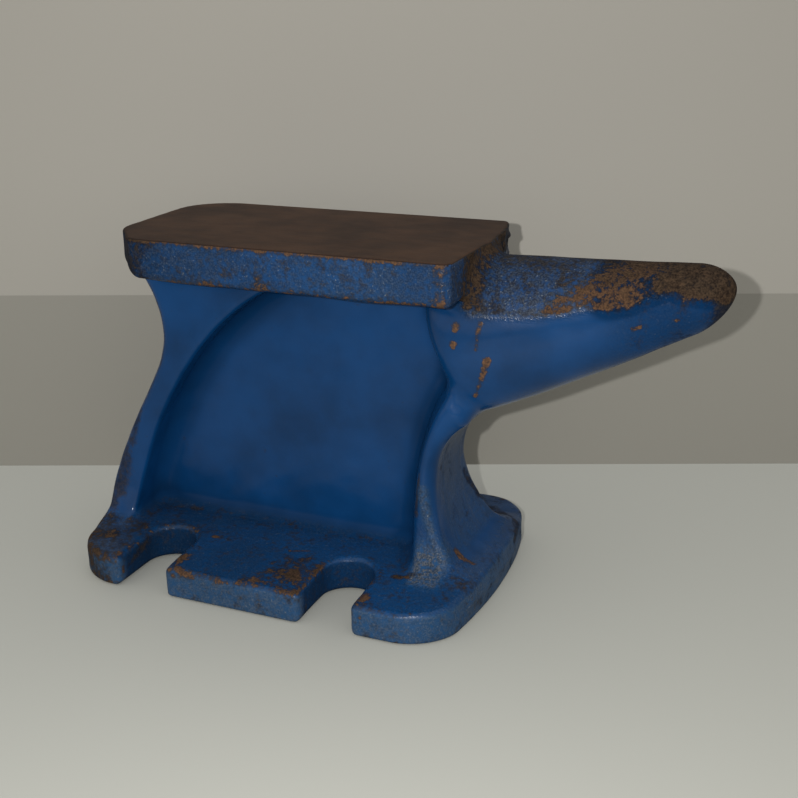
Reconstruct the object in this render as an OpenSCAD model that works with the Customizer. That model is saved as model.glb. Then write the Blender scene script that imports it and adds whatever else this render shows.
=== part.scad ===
// Bench anvil: one iron casting drawn as the regions that a smith names.
// Millimetres, +Z up, horn along +X. The origin is the middle of the underside of the foot.

/* [Overall] */
// Height from the bench to the working face
anvil_h = 116; // [110:1:130]

/* [Foot] */
// Length of the foot, along the horn
foot_l = 142.5; // [134:0.5:160]
// Width of the foot
foot_w = 97.4; // [90:0.2:120]
// Thickness of the foot at its rim
foot_rim = 10.2; // [7:0.2:14]
// How much the top of the foot climbs from the rim to the web
foot_rise = 2.6; // [1:0.2:5]
// Radius of the foot's corners, seen from above
foot_corner_r = 18; // [8:1:26]
// Radius of the shallow bow of the foot's two ends
foot_bow_r = 200; // [150:10:400]

/* [Bolt slots] */
// Width of a bolt slot
slot_w = 17.6; // [12:0.2:20]
// Depth of a bolt slot, in from the side of the foot
slot_depth = 26.8; // [18:0.2:30]
// Distance between the two slots on one side
slot_pitch = 67; // [50:1:72]
// Where the middle of the two slots lies along the foot
slot_mid_x = -5; // [-7:0.5:2]

/* [Face block] */
// Length of the block that carries the working face
block_l = 121; // [110:0.5:128]
// Width of the block
block_w = 73; // [60:1:90]
// Thickness of the block, working face included
block_t = 13.2; // [10:0.2:18]
// Where the middle of the block lies along the foot
block_mid_x = 3.75; // [0:0.25:8]
// Radius of the block's back corner at the heel, seen from above
heel_corner_r = 20; // [4:1:30]
// How much further the heel end of the block reaches at the back than at the front
heel_skew = 5.5; // [0:0.5:8]
// Length of the cut across the block's front corner at the heel, along the block
cut_l = 12; // [6:0.5:16]
// Width of that cut, across the block
cut_w = 16; // [6:0.5:20]
// Radius of the two edges of the cut
cut_edge_r = 2; // [0.5:0.5:5]
// Radius of the block's two corners at the horn, seen from above
horn_corner_r = 3; // [1:0.5:20]
// Thickness of the ground layer that is the working face
face_t = 2.2; // [1:0.2:4]

/* [Web] */
// Thickness of the web
web_t = 10.4; // [8:0.2:16]
// Radius of the fillet between the web and the foot
web_fillet_r = 4.5; // [2:0.5:8]

/* [Flanges] */
// Width across a flange at the waist
flange_w = 39; // [34:0.5:46]
// Height over the foot at which a flange starts to spread
spread_h = 30; // [20:1:34]
// How far the foot of a flange spreads on each side
spread_w = 9; // [4:0.5:12]

/* [Heel flange] */
// How far the top of the heel flange stands in from the heel end of the block
heel_top_in = 3.8; // [1:0.2:6]
// How far the heel is undercut at its narrowest
heel_undercut = 13; // [8:0.5:16]
// Height of the narrowest place of the heel
heel_neck_z = 80.5; // [74:0.5:84]
// How far the heel flange stands in from the end of the foot
heel_toe_in = 2; // [1:0.5:6]
// Thickness of the heel flange where it meets the foot
heel_toe_t = 11; // [8:0.5:14]
// Length of the heel flange's reach under the block
heel_reach = 64; // [50:1:70]

/* [Throat flange] */
// Thickness of the throat flange at its neck
neck_t = 6.5; // [5:0.5:10]
// Where the neck's throat side lies, back from the horn end of the block
neck_in = 12.5; // [10:0.5:16]
// Height of the neck
neck_z = 41.5; // [36:0.5:46]
// How far the throat side spreads along the foot below the neck
throat_spread = 15; // [10:0.5:17]
// Where the flange and the horn root part on the web, back from the horn end of the block
parting_in = 6.4; // [4:0.2:9]
// Height of that parting
parting_z = 72.6; // [69:0.2:76]

/* [Horn] */
// Length of the horn from the end of the block
horn_l = 74; // [60:1:84]
// Drop from the working face to the horn's top at the root
horn_drop = 4.2; // [3:0.2:8]
// Drop from the working face to the horn's top at the nose
nose_drop = 2; // [1:0.2:5]
// Height of the horn's section at the root
root_h = 49.6; // [44:0.2:54]
// Width of the horn at the root
root_w = 42; // [36:0.5:50]
// Height of the horn's section where the nose begins
nose_h = 21; // [15:0.5:28]
// Width of the horn where the nose begins
nose_w = 20; // [14:0.5:28]
// Length of the rounded nose
nose_l = 11; // [8:0.5:16]
// Drop from the working face to the tip of the nose
tip_drop = 10.3; // [8:0.1:14]
// How far the horn root reaches in under the block
root_reach = 16.3; // [13:0.1:20]

/* [Hidden] */

blue = [0.20, 0.37, 0.60];
bare = [0.36, 0.31, 0.27];

$fn = 96;
// Spare length of a cutting shape beyond what it cuts
over = 1;
// Fineness of the curves, the horn's sections, its cone and its nose
curve_steps = 14;
egg_steps = 40;
cone_rings = 8;
nose_rings = 14;
// Turn of the nose's last ring, in degrees, just short of a full quarter
nose_turn = 88;
// Share of a horn section's height that lies below its widest line
egg_wide = 0.54;
// Power of the horn's lower half: 2 is an ellipse, and more is fuller
root_power = 3;
nose_power = 2;

// Handles of the curves: each is the way that a curve sets out from its end, in X and Z
heel_sweep = [-36, -10];
heel_flare = [4, -5];
heel_rise = [0, 10];
heel_fall = [0, -18];
toe_lean = [3, 34];
parting_fall = [-7, -11];
neck_hold = [0, 8];
neck_rise = [0, 9];
neck_fall = [0, -18];
throat_flare = [-7, 5];
throat_sweep = [-8, -4.5];
root_fall = [1, -12];
root_turn = [-4, 7];
// The same for the spreading side of a flange, in Y and Z
spread_fall = [0, -15];
spread_curl = [-8, 5];

foot_top = foot_rim + foot_rise;
block_z = anvil_h - block_t;
heel_end = block_mid_x - block_l / 2;
horn_end = block_mid_x + block_l / 2;
horn_top = anvil_h - horn_drop;
horn_keel = horn_top - root_h;

// Cubic curve between two points, with the handle of each, as a list of points
function curve(from, from_handle, to, to_handle) = [
    for (i = [0 : curve_steps])
        let (t = i / curve_steps, s = 1 - t)
            s * s * (s + 3 * t) * from + 3 * s * s * t * from_handle
            + 3 * s * t * t * to_handle + t * t * (t + 3 * s) * to
];

function reversed(points) = [for (i = [len(points) - 1 : -1 : 0]) points[i]];

// Egg-shaped section from its half width, top, bottom and the power of its lower half
function egg(half_w, top, bottom, power) =
    let (wide = bottom + egg_wide * (top - bottom)) [
        for (i = [0 : egg_steps - 1])
            let (c = cos(360 * i / egg_steps), s = sin(360 * i / egg_steps))
                s > 0
                    ? [half_w * c, wide + (top - wide) * s]
                    : [half_w * sign(c) * pow(abs(c), 2 / power), wide - (wide - bottom) * pow(-s, 2 / power)]
    ];

// Extrude an outline drawn in X and Z along Y, about the middle plane
module across(width) {
    rotate([90, 0, 0]) linear_extrude(height = width, center = true) children();
}

// Extrude an outline drawn in Y and Z along X, from one place to another
module along(from_x, to_x) {
    translate([from_x, 0, 0]) rotate([90, 0, 90]) linear_extrude(height = to_x - from_x) children();
}

// Foot

// A rectangle with bowed ends; each corner is an arc that runs smoothly into its side and its end
module foot_plan() {
    bow_x = foot_l / 2 - foot_bow_r;
    corner_y = foot_w / 2 - foot_corner_r;
    corner_x = bow_x + sqrt(pow(foot_bow_r - foot_corner_r, 2) - pow(corner_y, 2));
    meet_y = corner_y * foot_bow_r / (foot_bow_r - foot_corner_r);
    square([2 * corner_x, foot_w], center = true);
    for (sx = [-1, 1], sy = [-1, 1]) translate([sx * corner_x, sy * corner_y]) circle(foot_corner_r);
    intersection() {
        square([foot_l, 2 * meet_y], center = true);
        translate([bow_x, 0]) circle(foot_bow_r);
        translate([-bow_x, 0]) circle(foot_bow_r);
    }
}

// Cross section of the foot: a rim, and a top that climbs to the web
module foot_section() {
    half_w = foot_w / 2;
    half_t = web_t / 2;
    polygon([
        [-half_w, 0], [half_w, 0], [half_w, foot_rim],
        [half_t, foot_top], [-half_t, foot_top], [-half_w, foot_rim]
    ]);
}

module slot(x, side) {
    end_y = foot_w / 2 - slot_depth + slot_w / 2;
    translate([x, side * end_y, -over]) cylinder(d = slot_w, h = foot_top + 2 * over);
    translate([x - slot_w / 2, side > 0 ? end_y : -end_y - foot_w / 2, -over])
        cube([slot_w, foot_w / 2, foot_top + 2 * over]);
}

module foot() {
    color(blue) difference() {
        intersection() {
            linear_extrude(height = foot_top + over) foot_plan();
            along(-foot_l, foot_l) foot_section();
        }
        for (end = [-1, 1], side = [-1, 1]) slot(slot_mid_x + end * slot_pitch / 2, side);
    }
}

// What stands on the foot, cut off at the foot's sloping top
module above_foot() {
    difference() {
        children();
        along(-foot_l, foot_l) foot_section();
    }
}

// Outlines of the flanges and the horn root, in X and Z

toe = [-foot_l / 2 + heel_toe_in, foot_rim];
toe_inner = toe + [heel_toe_t, 0];
heel_neck = [heel_end + heel_undercut, heel_neck_z];
heel_top = [heel_end + heel_top_in, block_z];
heel_under = [heel_end + heel_reach, block_z];

heel_inner = curve(heel_under, heel_sweep, toe_inner, toe_lean);
heel_outer = concat(
    curve(toe, toe_lean, heel_neck, heel_fall),
    curve(heel_neck, heel_rise, heel_top, heel_flare)
);

module heel_outline() {
    polygon(concat(heel_inner, heel_outer));
}

neck = [horn_end - neck_in, neck_z];
neck_inner = [neck[0] - neck_t, foot_rim];
throat_toe = [neck[0] + throat_spread, foot_rim];
parting = [horn_end - parting_in, parting_z];
root_bottom = [horn_end, horn_keel];

throat_inner = curve(parting, parting_fall, neck_inner, neck_hold + [0, neck_z - foot_rim]);
throat_outer = concat(
    curve(throat_toe, throat_flare, neck, neck_fall),
    curve(neck, neck_rise, root_bottom, throat_sweep)
);

module throat_outline() {
    polygon(concat(throat_inner, throat_outer));
}

root_top = [horn_end - root_reach, block_z];
root_inner = curve(root_top, root_fall, parting, root_turn);

module root_outline() {
    polygon(concat(root_inner, [root_bottom, [horn_end, block_z]]));
}

// Flanges

// Cross section of a flange, in Y and Z: straight sides that spread over the foot
module flange_section() {
    half_w = flange_w / 2;
    side = curve([half_w, foot_top + spread_h], spread_fall, [half_w + spread_w, foot_rim], spread_curl);
    polygon(concat(
        [[half_w, anvil_h]], side,
        [for (p = reversed(side)) [-p[0], p[1]]],
        [[-half_w, anvil_h]]
    ));
}

module flange() {
    color(blue) above_foot() intersection() {
        across(foot_w) children();
        along(-foot_l, foot_l) flange_section();
    }
}

module heel_flange() {
    flange() heel_outline();
}

module throat_flange() {
    flange() throat_outline();
}

// Web

// Cross section of the web, in Y and Z: a plate with a fillet on each side of its foot
module web_section() {
    half_t = web_t / 2;
    r = web_fillet_r;
    difference() {
        translate([-half_t - r, 0]) square([web_t + 2 * r, block_z]);
        for (side = [-1, 1]) translate([side * (half_t + r), foot_top + r]) circle(r);
        for (side = [-1, 1])
            translate([side * (half_t + r / 2 + over / 2), (foot_top + r + anvil_h) / 2])
                square([r + over, anvil_h - foot_top - r], center = true);
    }
}

// The web seen from the side: what the heel flange, the block, the horn root and the throat flange enclose
module web_outline() {
    polygon(concat(heel_inner, reversed(throat_inner), reversed(root_inner)));
}

module web() {
    color(blue) above_foot() intersection() {
        across(foot_w) web_outline();
        along(toe[0], horn_end) web_section();
    }
}

// Horn root and horn

module horn_root() {
    color(blue) intersection() {
        across(foot_w) root_outline();
        along(root_top[0], horn_end) polygon(egg(root_w / 2, horn_top, horn_keel, root_power));
    }
}

// One ring of the horn: its place along the cone as a share, and its share of the full section
function horn_ring(share, size) =
    let (
        top = horn_top + share * (horn_drop - nose_drop),
        bottom = horn_keel + share * (anvil_h - nose_drop - nose_h - horn_keel),
        half_w = (root_w + share * (nose_w - root_w)) / 2,
        power = root_power + min(share, 1) * (nose_power - root_power),
        tip_z = anvil_h - tip_drop
    )
    egg(half_w * size, tip_z + (top - tip_z) * size, tip_z + (bottom - tip_z) * size, power);

module horn() {
    cone_l = horn_l - nose_l;
    rings = concat(
        [for (i = [0 : cone_rings]) let (share = i / cone_rings)
            [for (p = horn_ring(share, 1)) [horn_end + share * cone_l, p[0], p[1]]]],
        [for (i = [1 : nose_rings]) let (turn = nose_turn * i / nose_rings, x = cone_l + nose_l * sin(turn))
            [for (p = horn_ring(x / cone_l, cos(turn))) [horn_end + x, p[0], p[1]]]]
    );
    last = (len(rings) - 1) * egg_steps;
    color(blue) polyhedron(
        points = [for (ring = rings) for (p = ring) p],
        faces = concat(
            [[for (i = [0 : egg_steps - 1]) i]],
            [for (j = [0 : egg_steps : last - 1]) for (i = [0 : egg_steps - 1])
                let (k = (i + 1) % egg_steps)
                    [j + i, j + egg_steps + i, j + egg_steps + k, j + k]],
            [[for (i = [egg_steps - 1 : -1 : 0]) last + i]]
        )
    );
}

// Face block and working face

// The block's corners, seen from above: where each one lies, and its radius. The heel end leans
// a little, and its front corner is cut across.
skew_per_w = heel_skew / block_w;
block_corners = [
    [heel_end + heel_skew / 2 + cut_l, -block_w / 2, cut_edge_r],
    [horn_end, -block_w / 2, horn_corner_r],
    [horn_end, block_w / 2, horn_corner_r],
    [heel_end - heel_skew / 2, block_w / 2, heel_corner_r],
    [heel_end + heel_skew / 2 - cut_w * skew_per_w, -block_w / 2 + cut_w, cut_edge_r]
];
corner_count = len(block_corners);
corner_places = [for (c = block_corners) [c[0], c[1]]];

function unit(v) = v / norm(v);

// A round corner: where its arc starts, the middle of the arc, and where it ends
function corner_arc(i) =
    let (
        at = corner_places[i],
        before = unit(corner_places[(i + corner_count - 1) % corner_count] - at),
        after = unit(corner_places[(i + 1) % corner_count] - at),
        half_angle = acos(before * after) / 2,
        radius = block_corners[i][2],
        reach = radius / tan(half_angle)
    )
    [at + reach * before, at + radius / sin(half_angle) * unit(before + after), at + reach * after];

// Straight sides from arc to arc, with a disc at each corner
module block_plan() {
    arcs = [for (i = [0 : corner_count - 1]) corner_arc(i)];
    polygon([for (arc = arcs) each [arc[0], arc[2]]]);
    for (i = [0 : corner_count - 1]) translate(arcs[i][1]) circle(block_corners[i][2]);
}

module face_block() {
    color(blue) translate([0, 0, block_z]) linear_extrude(height = block_t - face_t) block_plan();
}

module working_face() {
    color(bare) translate([0, 0, anvil_h - face_t]) linear_extrude(height = face_t) block_plan();
}

foot();
web();
heel_flange();
throat_flange();
horn_root();
horn();
face_block();
working_face();
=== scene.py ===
import math

import bpy
import numpy as np
from mathutils import Matrix, Vector


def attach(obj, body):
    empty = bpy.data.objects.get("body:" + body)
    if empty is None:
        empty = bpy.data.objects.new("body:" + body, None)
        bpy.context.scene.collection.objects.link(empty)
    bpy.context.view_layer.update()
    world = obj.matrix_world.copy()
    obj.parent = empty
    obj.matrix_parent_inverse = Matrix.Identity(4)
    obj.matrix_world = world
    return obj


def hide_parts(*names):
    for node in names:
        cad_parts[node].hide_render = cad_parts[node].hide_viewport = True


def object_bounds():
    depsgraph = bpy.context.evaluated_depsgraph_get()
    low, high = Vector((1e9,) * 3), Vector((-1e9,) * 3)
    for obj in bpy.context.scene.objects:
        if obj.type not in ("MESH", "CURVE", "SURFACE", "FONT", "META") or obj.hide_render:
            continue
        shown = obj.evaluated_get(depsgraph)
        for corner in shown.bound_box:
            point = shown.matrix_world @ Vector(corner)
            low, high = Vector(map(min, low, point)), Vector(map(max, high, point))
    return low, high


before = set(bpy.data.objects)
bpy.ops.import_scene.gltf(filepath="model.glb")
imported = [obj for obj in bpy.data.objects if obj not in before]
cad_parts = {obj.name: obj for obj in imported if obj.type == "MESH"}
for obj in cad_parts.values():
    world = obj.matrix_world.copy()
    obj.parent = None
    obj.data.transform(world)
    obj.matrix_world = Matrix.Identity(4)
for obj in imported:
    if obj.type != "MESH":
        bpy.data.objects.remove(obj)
cad_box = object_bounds()
scene = bpy.context.scene
scene.view_settings.view_transform = "Standard"

# Camera: a hand-held view from the front and a little to the horn side, looking down on the
# working face. Places are in metres, in the frame of the part.
look_at = Vector((0.03425, 0.0, 0.0613))
azimuth, elevation, roll = math.radians(22.1), math.radians(19.0), math.radians(-0.15)
distance = 0.375
away = Vector((
    math.sin(azimuth) * math.cos(elevation),
    -math.cos(azimuth) * math.cos(elevation),
    math.sin(elevation),
))
camera = bpy.data.objects.new("camera", bpy.data.cameras.new("camera"))
camera.data.sensor_width = 36.0
camera.data.lens = 51.2
camera.data.clip_start = 0.01
camera.matrix_world = (
    Matrix.Translation(look_at + distance * away)
    @ away.to_track_quat("Z", "Y").to_matrix().to_4x4()
    @ Matrix.Rotation(roll, 4, "Z")
)
scene.collection.objects.link(camera)
scene.camera = camera

# Casting: the whole anvil is one piece of grey iron, poured in a sand mould, so every corner
# has a fillet and every edge is round. The form of each region is a distance in millimetres
# on one fine grid, negative in the iron, and the skin is drawn where the joined form is nought.
step = 0.65
low = np.array([-73.0, -50.5, -1.6])
high = np.array([140.2, 50.5, 117.6])
x, y, z = np.meshgrid(
    *(np.arange(a, b, step, dtype=np.float32) for a, b in zip(low, high)),
    indexing="ij", sparse=True,
)
side_y = np.abs(y)
FAR = 300.0


def keep_both(a, b, radius):
    """What lies inside both forms; their common edge is an arc of the radius."""
    over = np.hypot(np.maximum(a + radius, 0), np.maximum(b + radius, 0))
    return np.minimum(np.maximum(a, b), -radius) + over


foot_half_l, foot_half_w, foot_rim, foot_rise = 71.25, 48.7, 10.2, 2.6
web_half_t = 5.2
foot_slope = foot_rise / (foot_half_w - web_half_t)


def foot_outline():
    """The foot seen from above: two straight sides and two bowed ends, with round corners."""
    bow_r, corner_r = 200.0, 14.5
    ends = np.hypot(np.abs(x) + bow_r - foot_half_l, y) - bow_r
    return keep_both(side_y - foot_half_w, ends, corner_r)


def foot_form(outline):
    """The outline under a top that climbs from the rim to the web, less four slots.

    A slot is what lies within its radius of a line from its round end out to the side.
    """
    rim_r, sole_r, slot_edge_r = 2.0, 0.9, 2.2
    slot_r, slot_end, slot_middle, half_pitch = 8.8, 30.7, -5.0, 33.5
    top = (z - foot_rim - foot_slope * (foot_half_w - side_y)) / math.hypot(1, foot_slope)
    foot = keep_both(keep_both(outline, top, rim_r), -z, sole_r)
    from_line = np.abs(np.abs(x - slot_middle) - half_pitch)
    slots = np.hypot(from_line, np.minimum(side_y - slot_end, 0)) - slot_r
    return keep_both(foot, -slots, slot_edge_r)


def bend(start, start_pull, end, end_pull, count=90):
    """Cubic curve from one point to another; each end sets out along its pull."""
    t = np.linspace(0, 1, count)[:, None]
    s = 1 - t
    start, end = np.array(start), np.array(end)
    first, second = start + np.array(start_pull), end + np.array(end_pull)
    return s**3 * start + 3 * s**2 * t * first + 3 * s * t**2 * second + t**3 * end


def beyond(outline):
    """Distance from the grid's points to a closed outline in X and Z, negative inside it.

    It is the least distance to the outline's edges. A point is inside where a level line
    from it crosses the outline an odd number of times.
    """
    a = np.vstack(outline).astype(np.float32)
    b = np.roll(a, -1, axis=0)
    edge = b - a
    px, pz = (v[..., None] for v in np.broadcast_arrays(x[:, 0, :], z[0]))
    dx, dz = px - a[:, 0], pz - a[:, 1]
    along = np.clip((dx * edge[:, 0] + dz * edge[:, 1]) / (edge**2).sum(1), 0, 1)
    gap = np.sqrt(((dx - along * edge[:, 0])**2 + (dz - along * edge[:, 1])**2).min(-1))
    rising = (a[:, 1] > pz) != (b[:, 1] > pz)
    crossing = a[:, 0] + (pz - a[:, 1]) * edge[:, 0] / np.where(edge[:, 1] == 0, 1, edge[:, 1])
    inside = (rising & (px < crossing)).sum(-1) % 2 == 1
    return np.where(inside, -gap, gap)[:, None, :]


block_z, face_z, horn_end = 102.8, 116.0, 64.25
heel_toe, heel_neck, heel_top = (-70.9, foot_rim), (-44.3, 80.5), (-52.95, block_z)
heel_outer = np.vstack([
    bend(heel_toe, (3, 34), heel_neck, (0, -18)),
    bend(heel_neck, (0, 10), heel_top, (4, -5))[1:],
])
heel_inner = bend((7.25, block_z), (-36, -10), (-58.25, foot_rim), (3, 34))
throat_toe, throat_neck, root_bottom = (67.3, foot_rim), (53.0, 41.5), (65.0, 62.0)
throat_outer = np.vstack([
    bend(throat_toe, (-7, 5), throat_neck, (0, -18)),
    bend(throat_neck, (0, 9), root_bottom, (-8, -4.5))[1:],
])
parting = (57.85, 72.6)
throat_inner = bend(parting, (-7, -11), (45.25, foot_rim), (0, 39.3))
root_inner = bend((47.95, block_z), (1, -12), parting, (-4, 7))
# The waist ends inside the foot and inside the block
sunk_bottom, sunk_top = 6, 106


def web_form(left_of_heel, right_of_throat):
    """A plate in the middle plane, between lines inside the flanges, the foot and the block."""
    heel_cover, throat_cover, horn_side = 9, 3, 62
    web = np.maximum(left_of_heel + heel_cover, right_of_throat + throat_cover)
    web = np.maximum(np.maximum(web, x - horn_side), np.maximum(z - sunk_top, sunk_bottom - z))
    return np.maximum(web, side_y - web_half_t)


def flange_side():
    """Distance to the sides of the flanges, which are upright and spread over the foot."""
    spread = bend((19.5, 42.8), (0, -15), (28.5, foot_rim), (-8, 5))[::-1]
    half_w = np.interp(z, spread[:, 1], spread[:, 0])
    lean = np.gradient(half_w.ravel(), step).reshape(half_w.shape)
    return (side_y - half_w) / np.hypot(1, lean)


# The toes of the flanges stay just inside the rim of the foot
toe_in, toe_r = 0.6, 3.0


def heel_form(side, left_of_heel, outline):
    """What lies between the flange's sides, its outer line and its inner line, on the foot."""
    outer_r, inner_r = 3.6, 1.8
    right_of_heel = beyond([
        [(-FAR, FAR), (79.25, FAR), (79.25, 122.8)], heel_inner, [(-59, -FAR), (-FAR, -FAR)],
    ])
    heel = keep_both(keep_both(side, left_of_heel, outer_r), right_of_heel, inner_r)
    heel = np.maximum(heel, np.maximum(z - sunk_top, sunk_bottom - z))
    return keep_both(heel, outline + toe_in, toe_r)


def throat_form(side, right_of_throat, outline):
    """What lies between the flange's sides, its outer line and its inner face, on the foot.

    The inner face leans out with the draft of the mould. The outer edges are rounder towards
    the waist, the back one more so, and the flange ends at the slope where the horn begins.
    """
    draft, draft_from, inner_r = 0.364, 15.6, 2.2
    parting_way, parting_over, parting_r = (0.852, 0.524), 2, 5.0
    left_of_throat = beyond([
        [(FAR, 453), (78.85, 105.6)], throat_inner, [(45.25, -FAR), (FAR, -FAR)],
    ])
    flank = (left_of_throat + draft * (side_y - draft_from)) / math.hypot(1, draft)
    over_parting = (x - parting[0]) * parting_way[0] + (z - parting[1]) * parting_way[1]
    back_r, front_r = np.interp(z, [24, 40], [1.5, 9.0]), np.interp(z, [20, 46], [2.5, 6.0])
    throat = keep_both(side, right_of_throat, np.where(y > 0, back_r, front_r))
    throat = keep_both(throat, flank, inner_r)
    throat = keep_both(throat, over_parting - parting_over, parting_r)
    return keep_both(np.maximum(throat, sunk_bottom - z), outline + toe_in, toe_r)


def horn_form():
    """Egg-shaped sections that shrink along a cone to a round nose.

    A section is an ellipse over its widest line, and a squarer curve of a higher power under
    it. The root is the first section carried back under the block to the root's inner line.
    The value over the length of its slope is about the distance.
    """
    cone_l, nose_l, soft_l, root_r = 63.0, 11.0, 6, 7.0
    top_z, top_rise, keel_z, keel_rise, widest = 111.8, 2.2, 62.2, 30.8, 0.54
    root_half_w, taper, root_power, least_slope = 21.0, 11.0, 3.0, 0.02
    past_root = x - horn_end
    ramp = np.clip(past_root + soft_l, 0, 2 * soft_l)**2 / (4 * soft_l)
    share = (ramp + np.maximum(past_root - soft_l, 0)) / cone_l
    top = top_z + top_rise * share
    keel = keel_z + keel_rise * share - np.sin(np.pi * np.clip(share, 0, 1))
    wide = keel + widest * (top - keel)
    across = side_y / (root_half_w - taper * share)
    power = root_power - np.minimum(share, 1)
    rise = np.maximum(z - wide, 0) / (top - wide)
    fall = np.maximum(wide - z, 0) / (wide - keel)
    under = (across**power + fall**power)**(1 / power)
    section = np.where(z > wide, np.hypot(across, rise), under)
    horn = np.hypot(section, np.maximum(past_root - cone_l, 0) / nose_l) - 1
    horn /= np.maximum(np.sqrt(sum(g**2 for g in np.gradient(horn, step))), least_slope)
    left_of_root = beyond([
        [(46.3, FAR), (46.3, 122.6)], root_inner, [(81.85, 30.6), (FAR, 30.6), (FAR, FAR)],
    ])
    return keep_both(horn, left_of_root, root_r)


def waves(length, seed, count=10):
    """Uneven swell between about -1 and 1: a sum of sine waves of the length, all ways round."""
    dice = np.random.default_rng(seed)
    way = dice.normal(size=(count, 3))
    way *= 2 * np.pi / length / np.linalg.norm(way, axis=1)[:, None]
    start = dice.uniform(0, 2 * np.pi, count)
    swell = sum(
        np.sin((k[0] * x + k[1] * y + k[2] * z + s).astype(np.float32)) for k, s in zip(way, start)
    )
    return swell / math.sqrt(count / 2)


def block_form():
    """A slab whose outline is kept inside its two sides and its ends.

    The heel end leans, with a round back corner and its front corner cut across. The far part
    of the horn end is broken off along a slanting, wavy face.
    """
    half_w, heel_x, heel_lean = 36.5, -56.75, 5.5 / 73
    back_corner_r, horn_corner_r, heel_edge_r, cut_edge_r = 19.0, 3.0, 0.5, 2.5
    cut_start, cut_end = np.array([-42.0, -36.5]), np.array([-55.2, -20.5])
    break_x, break_y, break_way, break_r, face_edge_r = 1.2, 9, (0.98, 0.2), 2.5, 0.5
    run = (cut_end - cut_start) / np.linalg.norm(cut_end - cut_start)
    heel_end = (heel_x - heel_lean * y - x) / math.hypot(1, heel_lean)
    plan = keep_both(heel_end, y - half_w, back_corner_r)
    front = keep_both(x - horn_end, side_y - half_w, horn_corner_r)
    plan = keep_both(plan, front, heel_edge_r)
    corner_cut = (y - cut_start[1]) * run[0] - (x - cut_start[0]) * run[1]
    plan = keep_both(plan, corner_cut, cut_edge_r)
    broken = (x - horn_end - break_x) * break_way[0] + (y - break_y) * break_way[1]
    near_break = np.clip(broken + 2, 0, 1) * np.clip(face_z + 0.2 - z, 0, 1)
    plan = keep_both(plan, broken + 0.5 * waves(5, 3) * near_break, break_r)
    under_r = np.interp(x, [-50, -25], [5.0, 2.0])
    return keep_both(keep_both(plan, block_z - z, under_r), z - face_z, face_edge_r)


def join(a, b, radius):
    """What lies inside either form; the corner between them is a fillet of the radius."""
    under = np.hypot(np.maximum(radius - a, 0), np.maximum(radius - b, 0))
    return np.maximum(np.minimum(a, b), radius) - under


def casting_form():
    """All the regions joined with fillets, and made as uneven as the sand of the mould.

    The sole and the ground face stay flat, and nothing passes the foot's sides and heel end.
    """
    outline, side = foot_outline(), flange_side()
    left_of_heel = beyond([
        [(-72.2, -16)], heel_outer,
        [(-56.95, 107.8), (-57, FAR), (FAR, FAR), (FAR, -FAR), (-72.2, -FAR)],
    ])
    right_of_throat = beyond([
        [(-FAR, FAR), (-FAR, -FAR), (88, -FAR), (88, -5)], throat_outer,
        [(96.9, 80), (FAR, 195), (FAR, FAR)],
    ])
    heel_fillet, throat_fillet, horn_fillet, foot_fillet = 7.0, 4.0, 5.0, 4.5
    block_fillet = np.interp(x, [52, 62], [3.0, 6.5])
    web = web_form(left_of_heel, right_of_throat)
    body = join(web, heel_form(side, left_of_heel, outline), heel_fillet)
    body = join(body, throat_form(side, right_of_throat, outline), throat_fillet)
    body = join(body, horn_form(), horn_fillet)
    body = join(body, block_form(), block_fillet)
    uneven = 0.1 * waves(26, 1) + 0.025 * waves(7, 2)
    uneven = uneven * np.clip((face_z - 1.2 - z) / 2, 0, 1) * np.clip(z / 2, 0, 1)
    whole = join(foot_form(outline), body, foot_fillet) + uneven
    limits = np.maximum(side_y - foot_half_w, -x - foot_half_l)
    limits = np.maximum(limits, np.maximum(-z, z - face_z))
    return np.maximum(whole, limits).astype(np.float32)


def skin(form):
    """Closed quads where the form is nought, in grid units.

    There is one point in each grid cell that the skin passes through, at the mean of the cell's
    crossings, and one quad round each grid line that it crosses.
    """
    inside = form < 0
    corners = [(i, j, k) for i in (0, 1) for j in (0, 1) for k in (0, 1)]
    nx, ny, nz = (n - 1 for n in form.shape)
    count = sum(inside[i:i + nx, j:j + ny, k:k + nz].astype(np.int8) for i, j, k in corners)
    cells = np.argwhere((count > 0) & (count < 8))
    number = np.full((nx, ny, nz), -1, dtype=np.int32)
    number[tuple(cells.T)] = np.arange(len(cells))
    unit = np.eye(3, dtype=int)
    total, hits = np.zeros((len(cells), 3)), np.zeros((len(cells), 1))
    quads = []
    for axis in range(3):
        for start in corners:
            if start[axis]:
                continue
            a = form[tuple((cells + start).T)]
            b = form[tuple((cells + start + unit[axis]).T)]
            crossed = ((a < 0) != (b < 0))[:, None]
            part = (a / np.where(a == b, 1, a - b))[:, None]
            total += crossed * (np.array(start) + part * unit[axis])
            hits += crossed
        before = inside.swapaxes(0, axis)[:-1].swapaxes(0, axis)
        after = inside.swapaxes(0, axis)[1:].swapaxes(0, axis)
        lines = np.argwhere(before != after)
        back_b, back_c = unit[(axis + 1) % 3], unit[(axis + 2) % 3]
        ring = [lines - back_b - back_c, lines - back_c, lines, lines - back_b]
        quad = np.stack([number[tuple(r.T)] for r in ring], axis=1)
        outwards = before[tuple(lines.T)][:, None]
        quads.append(np.where(outwards, quad, quad[:, ::-1]))
    return cells + total / hits, np.vstack(quads)


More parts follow.
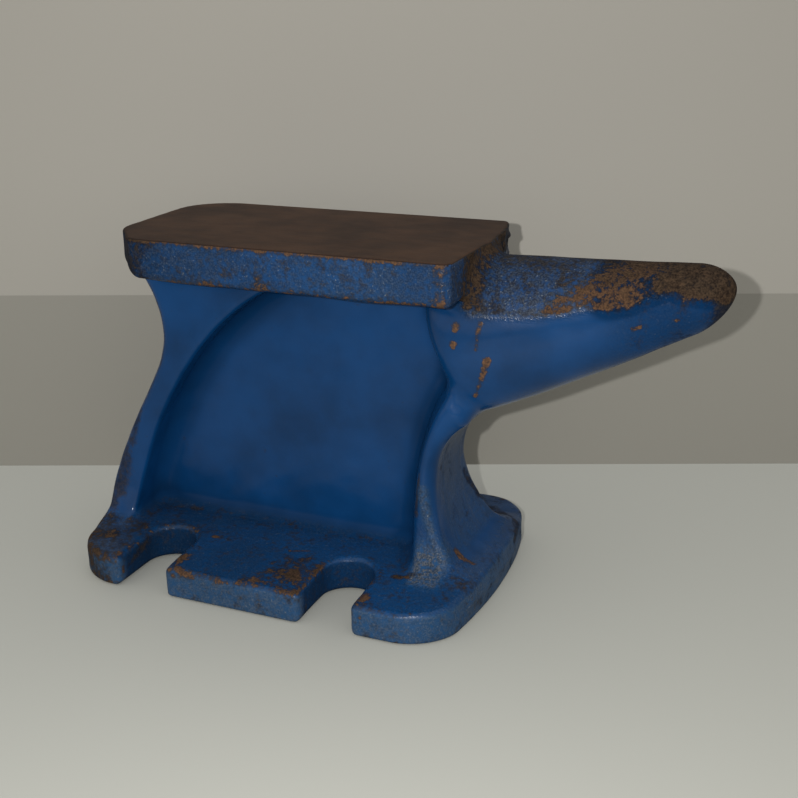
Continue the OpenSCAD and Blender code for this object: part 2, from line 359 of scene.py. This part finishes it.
def feel(form, points):
    """The form and its slope at points in grid units, from a quadratic B-spline of the grid."""
    near = np.clip(np.rint(points).astype(int), 1, np.array(form.shape) - 2)
    t = points - near
    weight = np.stack([0.5 * (0.5 - t)**2, 0.75 - t**2, 0.5 * (0.5 + t)**2])
    slope = np.stack([t - 0.5, -2 * t, t + 0.5])
    value, rise = np.zeros(len(points)), np.zeros((len(points), 3))
    for i, j, k in np.ndindex(3, 3, 3):
        sample = form[near[:, 0] + i - 1, near[:, 1] + j - 1, near[:, 2] + k - 1]
        wx, wy, wz = weight[i, :, 0], weight[j, :, 1], weight[k, :, 2]
        value += sample * wx * wy * wz
        rise[:, 0] += sample * slope[i, :, 0] * wy * wz
        rise[:, 1] += sample * wx * slope[j, :, 1] * wz
        rise[:, 2] += sample * wx * wy * slope[k, :, 2]
    return value, rise


form = casting_form()
points, quads = skin(form)
for _ in range(3):
    value, rise = feel(form, points)
    points -= (value / (rise**2).sum(1))[:, None] * rise
points = np.clip(low + points * step, np.array(cad_box[0]) * 1000, np.array(cad_box[1]) * 1000)
casting = bpy.data.meshes.new("casting")
casting.from_pydata(points / 1000, [], quads)


# Paint: blue enamel brushed by hand over the raw casting, down to the bench. It lies smooth on
# the web and speckled where the sand left the iron rough. Years of use have faded it, some dirt
# has settled, and rust has come through at the edges, on the horn and in a few runs. Its nooks
# and dim places are darkened with painted shade, and its bright specks are painted glints.
def ease(start, end, values):
    """From 0 to 1 as the values pass from start to end, with a soft beginning and end."""
    t = np.clip((values - start) / (end - start), 0, 1)
    return t * t * (3 - 2 * t)


def smear(place, marks, most):
    """How strong the nearest mark is at each place: the most on its line, fading over its width.

    A mark is a line from one place to another, and its width, which halves towards its end.
    """
    strength = np.zeros(len(place))
    for start, end, width in marks:
        line = np.array(end, float) - start
        part = np.clip((place - start) @ line / (line @ line), 0, 1)[:, None]
        gap = np.linalg.norm(place - start - part * line, axis=1) / (1 - 0.5 * part[:, 0])
        strength = np.maximum(strength, most * np.clip(1.5 - gap / width, 0, 1))
    return strength


def weather(place, out, proud):
    """How sandy, rusty, faded and dirty the skin is, and how much painted shade and dark soiling it
    takes, each from 0 to 1, at points in mm.

    The horn is rough above a border that climbs from its root to its tip, and rust has spread
    from the tip and the border over it. The block's sides, the foot and the throat are rough
    cast as well, and the edges of the foot and the block that stand proud rust first.
    """
    px, py, pz = place.T

    # The horn, above and below its border, and the cove between it and the block
    border = np.interp(px, [62, 77, 84, 92, 98, 106, 111, 115, 121, 130, 138],
                       [97, 97.6, 98, 99.4, 101.2, 101.4, 102.5, 104.4, 106.7, 105.5, 104])
    on_horn = ease(61.5, 65, px)
    over = pz - border
    soft = np.interp(px, [104, 120], [1.0, 4.0])
    horn_top = on_horn * ease(-soft, soft, over)
    horn_rough = on_horn * ease(-1.8, 1.0, over)
    cove = ease(60, 63.5, px) * ease(71, 66, px) * ease(96, 100, pz) * ease(30, 22, np.abs(py))

    # The block, its edges, its front corner at the horn, its heel half and its broken end
    on_block = ease(block_z - 1, block_z + 0.5, pz) * (1 - on_horn)
    low_edge = on_block * ease(106, block_z, pz)
    top_edge = on_block * ease(face_z - 2.0, face_z - 0.4, pz)
    corner = on_block * ease(55, 60, px) * ease(28, 33, -py)
    heel_half = on_block * ease(-15, -48, px)
    horn_half = on_block * ease(5, 20, px) * ease(56, 46, px)
    broken_end = ease(55, 60, px) * ease(4, 14, py) * ease(105, 110, pz)

    # The foot, its upright rim, the walls of its slots, its heel lug and the top between slots
    on_foot = 1 - ease(12.8, 15.5, pz)
    rim = on_foot * ease(0.7, 0.3, out[:, 2])
    # Painted shade: the slot walls are darkened, with some dirt, as the inside of a slot lies in
    # shade.
    slot_wall = rim * ease(47, 43, np.abs(py)) * ease(60, 52, np.abs(px))
    lug = on_foot * ease(-46, -53, px) * ease(18, 27, -py)
    mid_top = on_foot * ease(-4, 6, px) * ease(30, 24, px) * ease(20, 30, -py)
    mid_top = mid_top * ease(0.4, 0.85, out[:, 2])

    # The front of the throat flange with its ridge, the throat, and the back of the heel
    column = ease(46, 50, px) * ease(36, 16, pz) * ease(14, 19, -py) * ease(36, 29, -py)
    column_foot = column * ease(26, 18, pz) * ease(63, 57, px)
    # The ridge is painted lighter and greyer: partly worn paint, partly a painted highlight along
    # the edge.
    ridge = smear(place, [((49.5, -19.0, 38.0), (56.5, -22.0, 16.0), 2.2)], 1.0)
    throat_edge = ease(0.35, 0.8, out[:, 0]) * ease(44, 50, px) * ease(75, 62, pz)
    throat = throat_edge * ease(-17, -7, py)
    heel_back = ease(-0.15, -0.6, out[:, 0]) * ease(-30, -40, px)

    sand = np.max([
        horn_rough, cove, 0.62 * on_block, 0.4 * on_foot, 0.6 * column, 0.45 * throat, 0.8 * ridge,
        0.95 * column_foot, 0.2 * on_horn * ease(100, 112, px),
    ], axis=0)
    spread = np.interp(px - 2.0 * over, [72, 79, 84, 104, 130], [0.12, 0.3, 0.56, 0.6, 0.66])
    rust = np.max([
        horn_top * spread, 0.48 * cove, 0.28 * low_edge, 0.36 * top_edge, 0.38 * corner,
        0.12 * column, 0.12 * on_foot * (1 - rim), 0.12 * on_block, 0.3 * lug, 0.34 * mid_top,
    ], axis=0)
    rust += proud * np.max([0.22 * on_foot * ease(64, 56, px), 0.2 * on_block], axis=0)
    faded = np.max([
        0.8 * rim * (1 - slot_wall), 0.08 * on_block, 0.2 * horn_half, 0.25 * throat,
        0.85 * column_foot, 0.22 * on_foot, 0.62 * ridge,
    ], axis=0)
    dirt = np.max([
        0.62 * lug, 0.5 * mid_top, 0.34 * on_foot, 0.3 * slot_wall, 0.2 * column, 0.26 * throat,
        0.5 * heel_back, 0.75 * on_block * heel_back, 0.3 * on_block, 0.7 * heel_half, broken_end,
        0.7 * cove, 0.4 * horn_top, 0.62 * horn_top * ease(0.78, 0.97, out[:, 2]),
        0.55 * horn_top * ease(2.5, 7, over) * ease(88, 100, px),
        0.85 * horn_top * ease(104, 122, px), 0.3 * on_horn * ease(92, 118, px),
        0.8 * on_horn * ease(127, 136, px),
    ], axis=0)
    dirt *= 1 - 0.7 * np.maximum(ridge, column_foot)
    # Painted shade mixed with dirt: the paint is darkened on the slot walls, along the throat, on
    # the heel half of the block and below the horn's border near its tip, which also hides a sheen.
    shade_and_grime = np.max([
        0.5 * on_horn * ease(95, 118, px), on_horn * ease(-5, -0.5, over) * ease(96, 104, px),
        0.75 * slot_wall, 0.35 * throat_edge, 0.55 * heel_half,
    ], axis=0)
    return sand, rust, faded, dirt, shade_and_grime


class Wire:
    """A shader socket to reckon with: + - * and 1 - wire add Math nodes to its material."""

    def __init__(self, tree, socket=None):
        self.tree, self.socket = tree, socket

    def node(self, kind, sockets=None, output=0, stops=None, **settings):
        """A new node's output: its settings and ramp stops are set first, then its sockets."""
        made = self.tree.nodes.new(kind)
        for key, value in settings.items():
            setattr(made, key, value)
        if stops:
            while len(made.color_ramp.elements) < len(stops):
                made.color_ramp.elements.new(1.0)
            for element, (at, colour) in zip(made.color_ramp.elements, stops):
                element.position, element.color = at, colour
        self.feed(made, sockets or {})
        return Wire(self.tree, made.outputs[output])

    def feed(self, node, sockets):
        """Link a node's sockets to wires, or set them to plain values."""
        for key, value in sockets.items():
            if isinstance(value, Wire):
                self.tree.links.new(value.socket, node.inputs[key])
            else:
                node.inputs[key].default_value = value

    def reckon(self, operation, a, b):
        """The result of a Math node on two values."""
        return self.node("ShaderNodeMath", {0: a, 1: b}, operation=operation)

    def __add__(self, other):
        return self.reckon("ADD", self, other)

    def __sub__(self, other):
        return self.reckon("SUBTRACT", self, other)

    def __rsub__(self, other):
        return self.reckon("SUBTRACT", other, self)

    def __mul__(self, other):
        return self.reckon("MULTIPLY", self, other)

    __radd__, __rmul__ = __add__, __mul__

    def ease(self, start, end):
        """From 0 to 1 as the value passes from start to end."""
        return self.node(
            "ShaderNodeMapRange", {"Value": self, "From Min": start, "From Max": end},
            interpolation_type="SMOOTHSTEP",
        )

    def over(self, under, colour):
        """A colour laid over another one as far as this mask says."""
        layers = {0: self, 6: under, 7: colour}
        return self.node("ShaderNodeMix", layers, output=2, data_type="RGBA")


def shade(red, green, blue):
    """A colour from its three bytes as seen on a screen: each is turned into an amount of light."""
    seen = np.array([red, green, blue]) / 255
    light = np.where(seen < 0.04045, seen / 12.92, ((seen + 0.055) / 1.055)**2.4)
    return (*(float(v) for v in light), 1.0)


def enamel(name):
    """Blue enamel, then what time has laid over it, each by its mask broken up by noise.

    From below: chalky fading, sand-cast speckle, bright specks that are painted glints, painted
    shade in the nooks with some dirt, soil, a stain round the rust and the rust itself. Clean
    paint shines; the shaded nooks, soil and rust are dull, so a dull shader is mixed in by them.
    """
    material = bpy.data.materials.new(name)
    material.use_nodes = True
    tree = material.node_tree
    start = Wire(tree)
    place = start.node("ShaderNodeTexCoord", output="Object")
    place = start.node("ShaderNodeVectorMath", {0: place, "Scale": 1000.0}, operation="SCALE")
    nook, sand, rust, faded, dirt = (
        start.node("ShaderNodeAttribute", output="Fac", attribute_name=key)
        for key in ("nook", "sand", "rust", "faded", "dirt")
    )

    def grain(size, detail=2.0, roughness=0.5):
        """Noise from 0 to 1 in lumps of a size in millimetres."""
        return start.node(
            "ShaderNodeTexNoise",
            {"Vector": place, "Scale": 1 / size, "Detail": detail, "Roughness": roughness},
        )

    broad, patch, fleck, sharp = grain(34), grain(7, 4.0, 0.65), grain(1.5, 2.0, 0.6), grain(0.55)
    coat = (broad * 0.75 + patch * 0.25).ease(0.3, 0.7).over(shade(4, 43, 80), shade(8, 59, 107))
    coat = (faded * (0.35 + fleck * 0.5)).over(coat, shade(38, 78, 110))
    chalky = faded.ease(0.5, 0.9)
    dark = chalky.over(shade(8, 13, 21), shade(42, 45, 48))
    pale = chalky.over(shade(50, 58, 65), shade(92, 88, 79))
    speckle = sharp.ease(0.42, 0.6).over(dark, pale)
    coat = (sand * fleck.ease(0.25, 0.6) * 0.75).over(coat, speckle)
    # Painted glints: sparse near-white specks on the rough skin stand for the lamp's glints.
    coat = (sand * sharp.ease(0.68, 0.75) * 0.55).over(coat, shade(150, 152, 150))
    # Painted shade: darker navy paint in the nooks and on the places that weather shades, with some
    # dirt.
    shade_and_grime = (nook + (patch - 0.5) * 0.5).ease(0.12, 0.8)
    coat = (shade_and_grime * 0.42).over(coat, shade(6, 18, 33))
    soiled = (dirt + (patch - 0.5) * 1.3 + (fleck - 0.5) * 0.5).ease(0.3, 0.75)
    soil = (fleck * 0.5 + sharp * 0.5).ease(0.35, 0.65).over(shade(18, 16, 14), shade(54, 47, 38))
    coat = (soiled * 0.75).over(coat, soil)
    eaten = rust + (patch - 0.5) * 1.1 + (fleck - 0.5) * 0.7 + (sharp - 0.5) * 0.3
    coat = (eaten.ease(0.2, 0.48) * 0.6).over(coat, shade(30, 27, 25))
    bare = eaten.ease(0.4, 0.58)
    rusty = patch * 0.35 + fleck * 0.35 + sharp * 0.3
    rusty = rusty.node("ShaderNodeValToRGB", {"Fac": rusty}, stops=[
        (0.3, shade(28, 22, 19)), (0.45, shade(58, 44, 34)), (0.58, shade(98, 71, 50)),
        (0.7, shade(132, 93, 60)),
    ])
    colour = (bare * 0.92).over(coat, rusty)
    colour = (soiled * bare * 0.75).over(colour, soil)

    gritty = sand.ease(0.45, 1.0) * (0.4 - 0.3 * sharp.ease(0.6, 0.7))
    rough = 0.2 + gritty + bare * 0.35 + soiled * 0.2 + faded * 0.35
    pitted = bare * (fleck * 0.2 - 0.1)
    height = (sand * 0.2 + 0.008) * sharp + (sand * 0.22 + 0.02) * fleck + pitted
    bump = height.node("ShaderNodeBump", {"Height": height, "Strength": 1.0, "Distance": 0.001})
    clean = {"Base Color": colour, "Normal": bump, "Roughness": rough, "Specular IOR Level": 0.3}
    dirty = {"Base Color": colour, "Normal": bump, "Roughness": 0.9, "Specular IOR Level": 0.05}
    shiny = tree.nodes["Principled BSDF"]
    start.feed(shiny, clean)
    dull = start.node("ShaderNodeBsdfPrincipled", dirty)
    matt = nook * 1.3 + soiled * 0.7 + bare * 0.8
    both = start.node("ShaderNodeMixShader", {0: matt, 1: Wire(tree, shiny.outputs[0]), 2: dull})
    start.feed(tree.nodes["Material Output"], {"Surface": both})
    return material


paint = enamel("blue enamel")


# Foot: the flat iron base that stands on the bench, cast in one with the waist. Two open slots
# on each side take holding-down bolts. The paint of its rim has faded and its edges have rusted.
def prism(outline, across):
    """A long bar with a closed outline as its section, to cut the casting with.

    The outline is in millimetres in the two directions other than the one that it lies across.
    It is turned round where needed, so that the bar's faces point outwards.
    """
    outline = np.vstack(outline)
    before = np.roll(outline, 1, axis=0)
    area = (before[:, 0] * outline[:, 1] - before[:, 1] * outline[:, 0]).sum()
    if (area > 0) == (across == 1):
        outline = outline[::-1]
    count = len(outline)
    ring = np.arange(count)
    ends = [np.insert(outline, across, end, axis=1) for end in (-FAR, FAR)]
    onward = np.roll(ring, -1)
    sides = np.stack([ring, onward, onward + count, ring + count], axis=1)
    faces = [*sides.tolist(), ring[::-1].tolist(), (ring + count).tolist()]
    mesh = bpy.data.meshes.new("cutter")
    mesh.from_pydata(np.vstack(ends) / 1000, [], faces)
    return mesh


def cut(mesh, cutter, way="INTERSECT"):
    """The part of the mesh inside the cutter, or the mesh less the cutter, as a new closed mesh."""
    stock, tool = (bpy.data.objects.new("cutting", m) for m in (mesh, cutter))
    for part in (stock, tool):
        scene.collection.objects.link(part)
    saw = stock.modifiers.new("saw", "BOOLEAN")
    saw.solver, saw.operation, saw.object = "MANIFOLD", way, tool
    seen = stock.evaluated_get(bpy.context.evaluated_depsgraph_get())
    result = bpy.data.meshes.new_from_object(seen)
    for part in (stock, tool):
        bpy.data.objects.remove(part)
    return result


def feel_at(place):
    """The casting's form and its slope at places in millimetres."""
    return feel(form, (place - low) / step)


def smooth(mesh):
    """Give a cut piece the normals of the casting, so that no seam shows in its skin.

    A face that lies inside the iron, where the piece was cut, keeps its own normal. Returns the
    piece's points in millimetres and the way out of the iron at each.
    """
    count, loops, faces = len(mesh.vertices), len(mesh.loops), len(mesh.polygons)
    place, normal, centre = np.empty(count * 3), np.empty(faces * 3), np.empty(faces * 3)
    corner, sides = np.empty(loops, dtype=int), np.empty(faces, dtype=int)
    mesh.vertices.foreach_get("co", place)
    mesh.polygons.foreach_get("normal", normal)
    mesh.polygons.foreach_get("center", centre)
    mesh.loops.foreach_get("vertex_index", corner)
    mesh.polygons.foreach_get("loop_total", sides)
    place = place.reshape(-1, 3) * 1000
    out = feel_at(place)[1]
    out /= np.linalg.norm(out, axis=1)[:, None]
    depth = feel_at(centre.reshape(-1, 3) * 1000)[0]
    sawn = np.repeat(np.abs(depth) > 0.1, sides)[:, None]
    shown = np.where(sawn, np.repeat(normal.reshape(-1, 3), sides, axis=0), out[corner])
    mesh.polygons.foreach_set("use_smooth", np.ones(faces, dtype=bool))
    mesh.normals_split_custom_set(shown)
    return place, out


def wear(mesh, place, out, rust_marks, dirt_marks):
    """Keep on each point how weathered it is and how much painted shade it takes, for the paint
    to read.

    How far a point stands proud or lies in a nook is the mean of the form at four places round
    it, a reach away along the skin, over the reach.
    """
    other_way = np.where(np.abs(out[:, 2:]) < 0.8, [0.0, 0.0, 1.0], [1.0, 0.0, 0.0])
    along = np.cross(out, other_way)
    along /= np.linalg.norm(along, axis=1)[:, None]
    ways = (along, -along, np.cross(out, along), -np.cross(out, along))
    proud, hollow = (
        sum(feel_at(place + reach * way)[0] for way in ways) / (4 * reach) for reach in (1.8, 5.0)
    )
    sand, rust, faded, dirt, shade_and_grime = weather(place, out, np.clip(proud * 5, 0, 1))
    kept = {
        # Painted shade: the deeper a point lies in a hollow, the darker its paint, joined with the
        # shaded places from weather.
        "nook": np.maximum(-hollow * 3, shade_and_grime),
        "sand": sand,
        "rust": np.maximum(rust, smear(place, rust_marks, 0.6)),
        "faded": faded,
        "dirt": np.maximum(dirt, smear(place, dirt_marks, 0.65)),
        "struck": ease(face_z - 0.4, face_z - 0.1, place[:, 2]),
    }
    for key, values in kept.items():
        values = np.clip(values, 0, 1).astype(np.float32)
        mesh.attributes.new(key, "FLOAT", "POINT").data.foreach_set("value", values)


def region(name, mesh, finish, rust_marks=(), dirt_marks=()):
    """A cut piece as an object on the one body, in place of its solid of the same name."""
    place, out = smooth(mesh)
    wear(mesh, place, out, rust_marks, dirt_marks)
    mesh.name = name
    mesh.materials.clear()
    mesh.materials.append(finish)
    piece = bpy.data.objects.new(name + "_casting", mesh)
    scene.collection.objects.link(piece)
    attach(piece, "root")
    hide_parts(name)


seam_lift, past_side, below = 0.6, 60, -10
seam_rim = foot_rim + seam_lift + foot_slope * (foot_half_w - past_side)
seam_top = foot_rim + foot_rise + seam_lift
foot_bar = prism([[
    (-past_side, below), (past_side, below), (past_side, seam_rim),
    (web_half_t, seam_top), (-web_half_t, seam_top), (-past_side, seam_rim),
]], 0)
foot_rust = [
    ((-49.8, -45.5, 10.0), (-47.2, -46.0, 5.0), 2.6),
    ((-26.7, -40.0, 10.8), (-26.0, -48.6, 8.0), 2.2),
    ((-25.0, -47.0, 9.8), (-18.7, -48.6, 8.7), 1.6),
    ((-9.3, -48.0, 9.5), (-6.0, -48.4, 9.3), 1.5),
    ((2.8, -45.3, 10.6), (10.5, -46.3, 10.4), 2.2),
    ((12.5, -37.0, 10.9), (18.0, -45.0, 9.8), 3.0),
    ((39.8, -42.1, 10.7), (40.5, -48.0, 7.0), 2.4),
    ((44.1, -28.2, 11.4), (50.9, -27.8, 12.5), 1.6),
    ((-24.5, -24.6, 11.6), (-22.5, -24.8, 11.6), 1.4),
    ((4.7, -24.6, 11.6), (11.0, -22.2, 11.6), 0.8),
]
foot_dirt = [
    ((-28.0, -8.0, 14.0), (-24.0, -8.0, 14.0), 2.0),
    ((-47.0, -9.0, 13.5), (-38.0, -9.0, 13.5), 2.2),
    ((57.0, 33.0, 11.0), (66.5, 26.0, 11.5), 5.0),
    ((68.0, 25.0, 11.5), (71.0, 14.0, 9.5), 2.5),
    ((-46.5, -30.0, 9.0), (-46.5, -44.0, 5.0), 2.5),
]
throat_foot_rust = [((60.5, -14.8, 17.0), (65.5, -13.8, 13.4), 2.0)]
throat_foot_dirt = [((44.0, -28.0, 11.5), (52.0, -26.5, 13.0), 1.8)]
region(
    "foot", cut(casting, foot_bar), paint,
    foot_rust + throat_foot_rust, foot_dirt + throat_foot_dirt,
)
above_foot = cut(casting, foot_bar, "DIFFERENCE")


# Web: the thin iron plate that stands on the foot in the middle plane and carries the block. It
# is cast in one with the flanges round it, and its smooth enamel is the cleanest.
def shifted(line, by):
    """A line moved sideways to its right by a distance, in millimetres."""
    way = np.gradient(line, axis=0)
    way /= np.linalg.norm(way, axis=1)[:, None]
    return line + by * np.stack([way[:, 1], -way[:, 0]], axis=1)


# The web's seams are the inner lines of the heel, the root and the throat, moved out on to the
# web. The last two meet at the cusp.
seam_out, under_block, cusp, cusp_gap = 1.6, block_z - 0.5, (56.0, 72.6), 0.8
heel_seam = shifted(heel_inner, -seam_out)
heel_seam = np.vstack([[(11.4, under_block)], heel_seam, [(-56.7, below)]])
root_seam = shifted(root_inner, seam_out)
root_seam = root_seam[(root_seam[:, 1] < under_block) & (root_seam[:, 1] > cusp[1] + cusp_gap)]
root_seam = np.vstack([[(root_seam[0, 0], under_block)], root_seam])
throat_seam = shifted(throat_inner, seam_out)
throat_seam = throat_seam[throat_seam[:, 1] < cusp[1] - cusp_gap]
throat_seam = np.vstack([throat_seam, [(43.6, below)]])
web_bar = prism([heel_seam, throat_seam[::-1], [cusp], root_seam[::-1]], 1)
region("web", cut(above_foot, web_bar), paint)

# Heel flange: the broad curved iron rib under the heel of the block, cast in one with the web
# and the foot. It runs out under the block at its top, and dirt has darkened its outer face.
past_heel = -90
heel_dirt = [
    ((-67.0, -21.5, 17.0), (-55.5, -19.5, 53.0), 4.5),
    ((-52.0, -19.5, 64.0), (-49.0, -19.5, 70.0), 1.5),
]
heel_bar = prism([heel_seam, [(past_heel, below), (past_heel, under_block)]], 1)
region("heel_flange", cut(above_foot, heel_bar), paint, (), heel_dirt)

# Throat flange: the curved iron rib under the horn, cast in one with the web and the foot, over
# which it spreads. The paint of its foot has gone chalky, and grime has settled in its hollow.
at_horn, past_toe, under_horn = horn_end + 0.5, 100, 50
root_keel = (at_horn, 61.4)
throat_dirt = [
    ((53.4, 12.0, 34.0), (57.0, 20.5, 21.0), 2.4),
    ((47.5, -19.0, 30.0), (48.5, -19.0, 50.0), 1.6),
]
throat_bar = prism([
    [cusp], throat_seam,
    [(past_toe, below), (past_toe, under_horn), (at_horn, under_horn), root_keel],
], 1)
region(
    "throat_flange", cut(above_foot, throat_bar), paint,
    throat_foot_rust, throat_dirt + throat_foot_dirt,
)

# Horn root: the thick iron shoulder under the end of the block that carries the horn, cast in
# one with both. It is painted, with spots and runs of rust down its side.
root_rust = [
    ((65.3, -16.4, 104.3), (65.2, -16.6, 105.0), 2.2),
    ((60.9, -20.6, 94.2), (60.6, -20.8, 92.6), 1.7),
    ((60.2, -21.0, 88.4), (60.2, -21.0, 87.2), 1.3),
    ((68.1, -19.7, 95.3), (67.0, -20.5, 87.4), 1.3),
    ((70.5, -19.7, 84.2), (66.4, -17.9, 71.8), 1.3),
]
root_bar = prism([root_seam, [cusp, root_keel, (at_horn, under_block)]], 1)
region("horn_root", cut(above_foot, root_bar), paint, root_rust)

# Horn: the tapered round iron beak for bending work over, cast in one with its root. Its paint
# is whole below a border along its side, and rusty and dirty on the rough skin above it.
horn_rust = [
    ((111.6, -12.4, 96.2), (113.9, -12.0, 97.2), 0.9),
    ((123.6, -10.0, 99.3), (125.0, -9.8, 99.9), 0.7),
]
cove_dirt = [
    ((63.8, -18.5, 108.0), (65.0, -11.0, 111.5), 3.6),
    ((65.3, -16.4, 104.3), (64.5, -17.5, 107.0), 3.0),
]
horn_bar = prism([[(at_horn, under_horn), (FAR, under_horn), (FAR, FAR), (at_horn, FAR)]], 1)
region("horn", cut(above_foot, horn_bar), paint, root_rust + horn_rust, cove_dirt)

# Face block: the iron slab that overhangs the waist, cast in one with it, with rough painted
# sides. One corner is cut across, the far part of its horn end is broken, and its edges rust.
face_bottom = face_z - 2.2
block_bar = prism([[
    (past_heel, under_block), (at_horn, under_block),
    (at_horn, face_bottom), (past_heel, face_bottom),
]], 1)
region("face_block", cut(above_foot, block_bar), paint, root_rust, cove_dirt)


# Working face: the top of the block, ground flat and left bare for hammering on. The iron has
# gone dull brown, with fine scratches along the anvil, and the paint ends just under its edge.
def ground_iron(name):
    """Brown iron over the enamel, as far up as the mask of the struck face, in an uneven line.

    Its colour is broad clouds and blotches with long thin streaks, and darker specks.
    """
    material = enamel(name)
    tree = material.node_tree
    start = Wire(tree)
    place = start.node("ShaderNodeTexCoord", output="Object")
    struck = start.node("ShaderNodeAttribute", output="Fac", attribute_name="struck")

    def grain(size, stretch=1.0, detail=3.0):
        """Noise from 0 to 1 in lumps of a size in millimetres, drawn out along the anvil."""
        scale = (1000 / stretch, 1000.0, 1000.0)
        at = start.node("ShaderNodeVectorMath", {0: place, 1: scale}, operation="MULTIPLY")
        return start.node("ShaderNodeTexNoise", {"Vector": at, "Scale": 1 / size, "Detail": detail})

    cloud, blotch, streak, speck = grain(26), grain(5.0, 1.6), grain(0.45, 24.0), grain(0.9)
    tone = (cloud * 0.5 + blotch * 0.3 + streak * 0.2).ease(0.35, 0.65)
    colour = tone.over(shade(45, 27, 17), shade(71, 47, 30))
    colour = speck.ease(0.62, 0.75).over(colour, shade(36, 27, 22))
    colour = struck.ease(0.9, 0.6).over(colour, shade(30, 22, 18))
    height = streak * 0.02 + speck * 0.02
    bump = height.node("ShaderNodeBump", {"Height": height, "Strength": 1.0, "Distance": 0.001})
    iron = start.node("ShaderNodeBsdfPrincipled", {
        "Base Color": colour, "Normal": bump, "Roughness": 0.55 + streak * 0.2,
        "Specular IOR Level": 0.2,
    })
    output = tree.nodes["Material Output"]
    painted = Wire(tree, output.inputs["Surface"].links[0].from_socket)
    worn = (struck + (speck - 0.5) * 0.5).ease(0.1, 0.4)
    both = start.node("ShaderNodeMixShader", {0: worn, 1: painted, 2: iron})
    start.feed(output, {"Surface": both})
    return material


over_face = 130
face_bar = prism([[
    (past_heel, face_bottom), (at_horn, face_bottom), (at_horn, over_face), (past_heel, over_face),
]], 1)
region("working_face", cut(above_foot, face_bar), ground_iron("ground iron"))

# Floor and backdrop: a pale bench top with a pale board close behind the anvil, square to the
# view, and one small lamp beside the camera with a soft even sky. The sheets are seen from
# their front only, and the boards let the sky light the back of the anvil.
world = bpy.data.worlds.new("sky")
scene.world = world
world.use_nodes = True
sky = world.node_tree.nodes["Background"]
sky.inputs["Color"].default_value = (1, 1, 1, 1)
sky.inputs["Strength"].default_value = 0.66
right = Vector((math.cos(azimuth), math.sin(azimuth), 0))
back = Vector((-math.sin(azimuth), math.cos(azimuth), 0))
lamp = bpy.data.objects.new("lamp", bpy.data.lights.new("lamp", "AREA"))
lamp.data.shape = "DISK"
lamp.data.size = 0.005
lamp.data.energy = 0.9
lamp_left, lamp_up = 0.025, 0.006
lamp.location = camera.location - lamp_left * right + Vector((0, 0, lamp_up))
lamp.rotation_euler = (lamp.location - look_at).to_track_quat("Z", "Y").to_euler()
scene.collection.objects.link(lamp)


def sheet(name, near_edge, far_edge, tone):
    """A flat sheet square to the view, between two edges given by how far back and how high.

    It is one face, clear where it is seen from behind.
    """
    reach = 1.5
    ends = ((near_edge, -reach), (near_edge, reach), (far_edge, reach), (far_edge, -reach))
    corners = [depth * back + end * right + Vector((0, 0, up)) for (depth, up), end in ends]
    mesh = bpy.data.meshes.new(name)
    mesh.from_pydata(corners, [], [(0, 1, 2, 3)])
    pale = bpy.data.materials.new(name)
    pale.use_nodes = True
    tree = pale.node_tree
    front = tree.nodes["Principled BSDF"]
    start = Wire(tree)
    start.feed(front, {"Base Color": shade(*tone), "Roughness": 0.8, "Specular IOR Level": 0.2})
    behind = start.node("ShaderNodeNewGeometry", output="Backfacing")
    clear = start.node("ShaderNodeBsdfTransparent")
    sides = {0: behind, 1: Wire(tree, front.outputs[0]), 2: clear}
    seen = start.node("ShaderNodeMixShader", sides)
    start.feed(tree.nodes["Material Output"], {"Surface": seen})
    mesh.materials.append(pale)
    stand = bpy.data.objects.new(name, mesh)
    scene.collection.objects.link(stand)
    return stand


floor_z, ledge, wall_back, wall_top, floor_reach = -0.0002, 0.074, 0.08, 1.2, 1.2
sheet("bench top", (-floor_reach, floor_z), (floor_reach, floor_z), (177, 177, 168))
low_board = sheet("low board", (wall_back, floor_z), (wall_back, ledge), (146, 143, 134))
high_board = sheet("high board", (wall_back, ledge), (wall_back, wall_top), (166, 162, 153))
for board in (low_board, high_board):
    board.visible_diffuse = False
    board.visible_shadow = False
